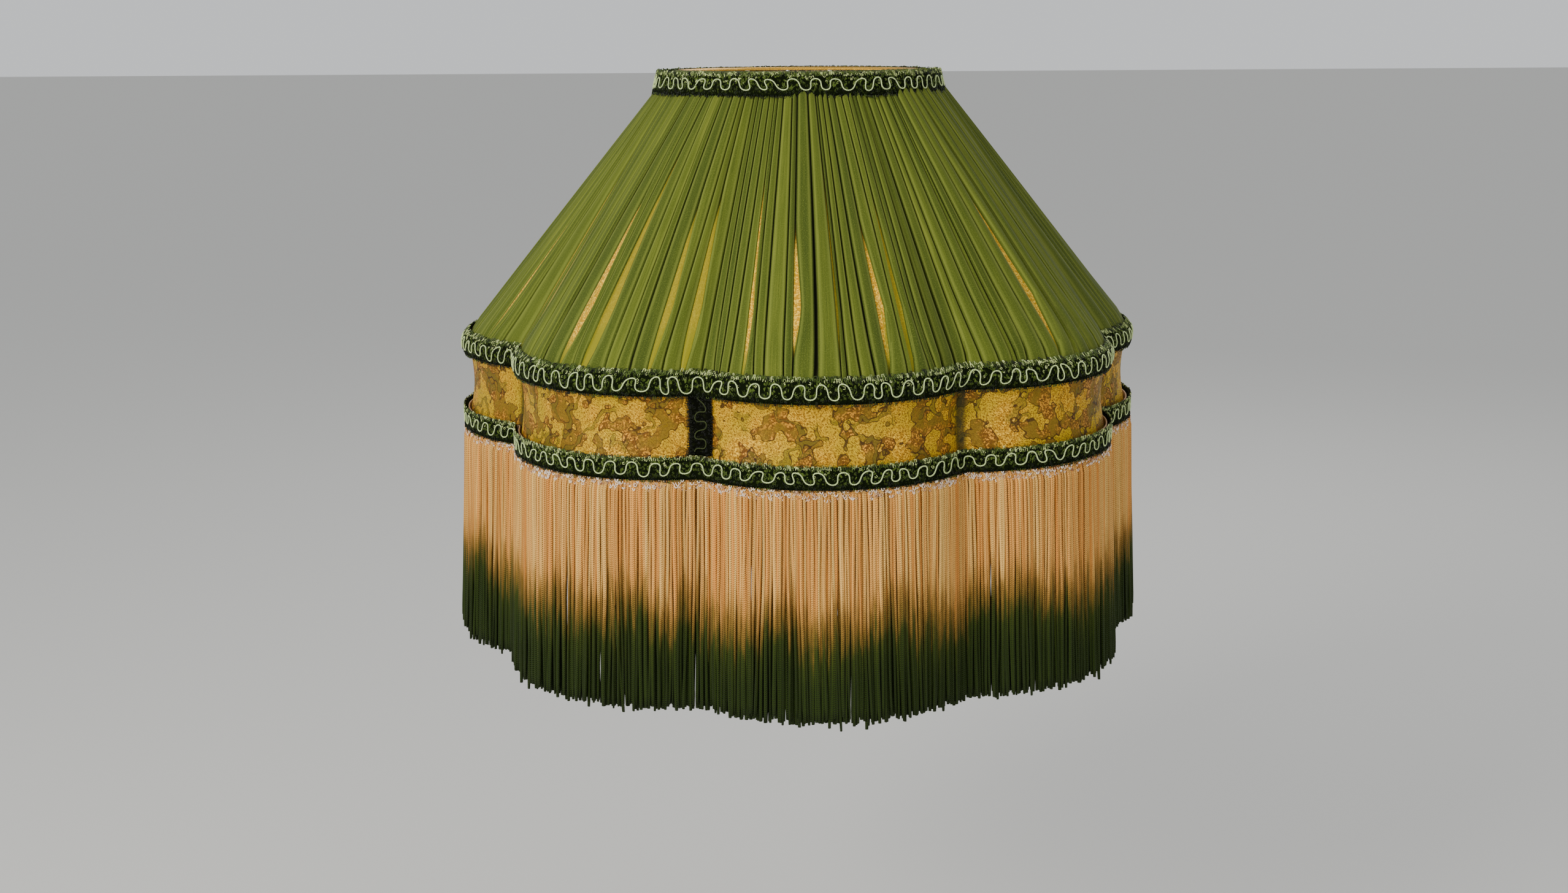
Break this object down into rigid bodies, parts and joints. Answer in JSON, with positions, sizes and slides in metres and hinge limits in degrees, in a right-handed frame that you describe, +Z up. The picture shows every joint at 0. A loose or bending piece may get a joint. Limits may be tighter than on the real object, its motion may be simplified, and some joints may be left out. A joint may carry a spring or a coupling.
{
  "type": "lamp shade",
  "caption": "Scalloped fabric lamp shade on a wire frame, with a pleated cone cover, lace collar, gimp braid and long fringe; hangs on a lampholder.",
  "frame": {"origin": "centre of the fitter ring, half way up its thickness, on the shade's axis", "axes": "+Z up along the shade's axis, out of the top opening; -Y is the front, with a lobe facing it and the seam braid a little to its left"},
  "size_m": [0.407, 0.407, 0.3252],
  "materials": {
    "frame_steel": "cream-coated steel wire",
    "fitter_steel": "plain pressed steel",
    "ring_tape": "wound cotton tape",
    "gold_cloth": "sparkling gold lame",
    "moss_chiffon": "moss green pleated chiffon, soft sheen",
    "collar_lace": "black and brown floral lace on fine net over gold",
    "green_gimp": "dark green gimp with a raised light green scroll",
    "dark_gimp": "near-black gimp",
    "fringe_tape": "woven peach heading tape",
    "ombre_fringe": "chainette fringe dyed from peach to dark green"
  },
  "bodies": {
    "root": {"top_ring": "frame_steel", "upper_ring": "frame_steel", "lower_ring": "frame_steel", "rib_1": "frame_steel", "rib_2": "frame_steel", "rib_3": "frame_steel", "rib_4": "frame_steel", "rib_5": "frame_steel", "rib_6": "frame_steel", "rib_7": "frame_steel", "rib_8": "frame_steel", "fitter_ring": "fitter_steel", "fitter_arm_1": "fitter_steel", "fitter_arm_2": "fitter_steel", "fitter_arm_3": "fitter_steel", "fitter_arm_4": "fitter_steel", "top_ring_tape": "ring_tape", "upper_ring_tape": "ring_tape", "lower_ring_tape": "ring_tape", "gold_lining": "gold_cloth", "collar_lining": "gold_cloth", "pleated_cover": "moss_chiffon", "lace_collar": "collar_lace", "top_braid": "green_gimp", "upper_braid": "green_gimp", "lower_braid": "green_gimp", "seam_braid": "dark_gimp", "fringe_heading": "fringe_tape", "fringe_skirt": "ombre_fringe"}
  },
  "joints": []
}
